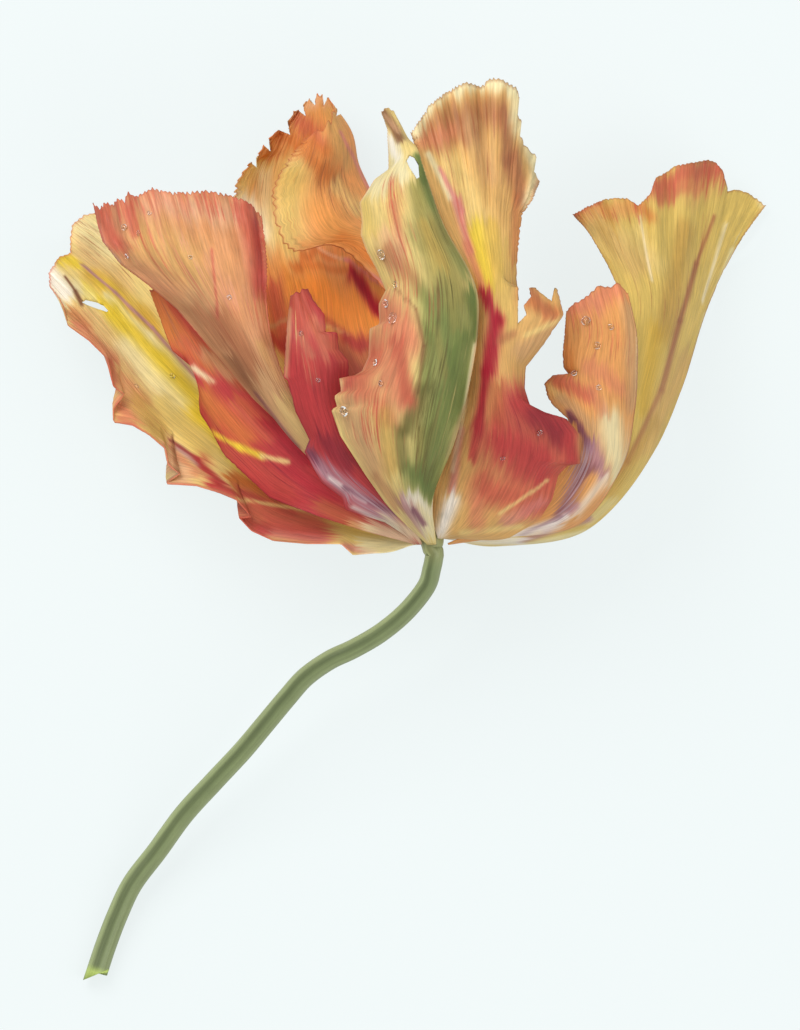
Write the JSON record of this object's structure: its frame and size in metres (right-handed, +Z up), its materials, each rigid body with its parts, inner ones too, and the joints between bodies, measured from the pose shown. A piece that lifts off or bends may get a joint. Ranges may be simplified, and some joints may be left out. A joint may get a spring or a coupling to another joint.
{
  "type": "parrot tulip",
  "caption": "Cut parrot tulip lying on a table: a wide open bloom of ruffled, fringed flame coloured petals on a bent green stem.",
  "frame": {"origin": "middle of the flower's length and width, on the table it lies on", "axes": "+Z up from the table, +Y along the flower from the cut stem to the bloom, +X to the right of the bloom seen from above"},
  "size_m": [0.1592, 0.1992, 0.0853],
  "materials": {
    "stem": "satin",
    "green_flame_petal": "satin",
    "yellow_petal": "satin",
    "orange_petal": "satin",
    "red_petal": "satin",
    "pistil": "satin",
    "stamen": "matte"
  },
  "bodies": {
    "root": {"stem": "stem", "front_petal": "green_flame_petal", "right_inner_petal": "yellow_petal", "right_outer_petal": "yellow_petal", "back_petal": "orange_petal", "left_outer_petal": "yellow_petal", "left_inner_petal": "orange_petal", "left_front_lobe": "red_petal", "right_side_lobe": "orange_petal", "left_side_lobe": "red_petal", "pistil": "pistil", "stamen_1": "stamen", "stamen_2": "stamen", "stamen_3": "stamen", "stamen_4": "stamen", "stamen_5": "stamen", "stamen_6": "stamen"}
  },
  "joints": []
}
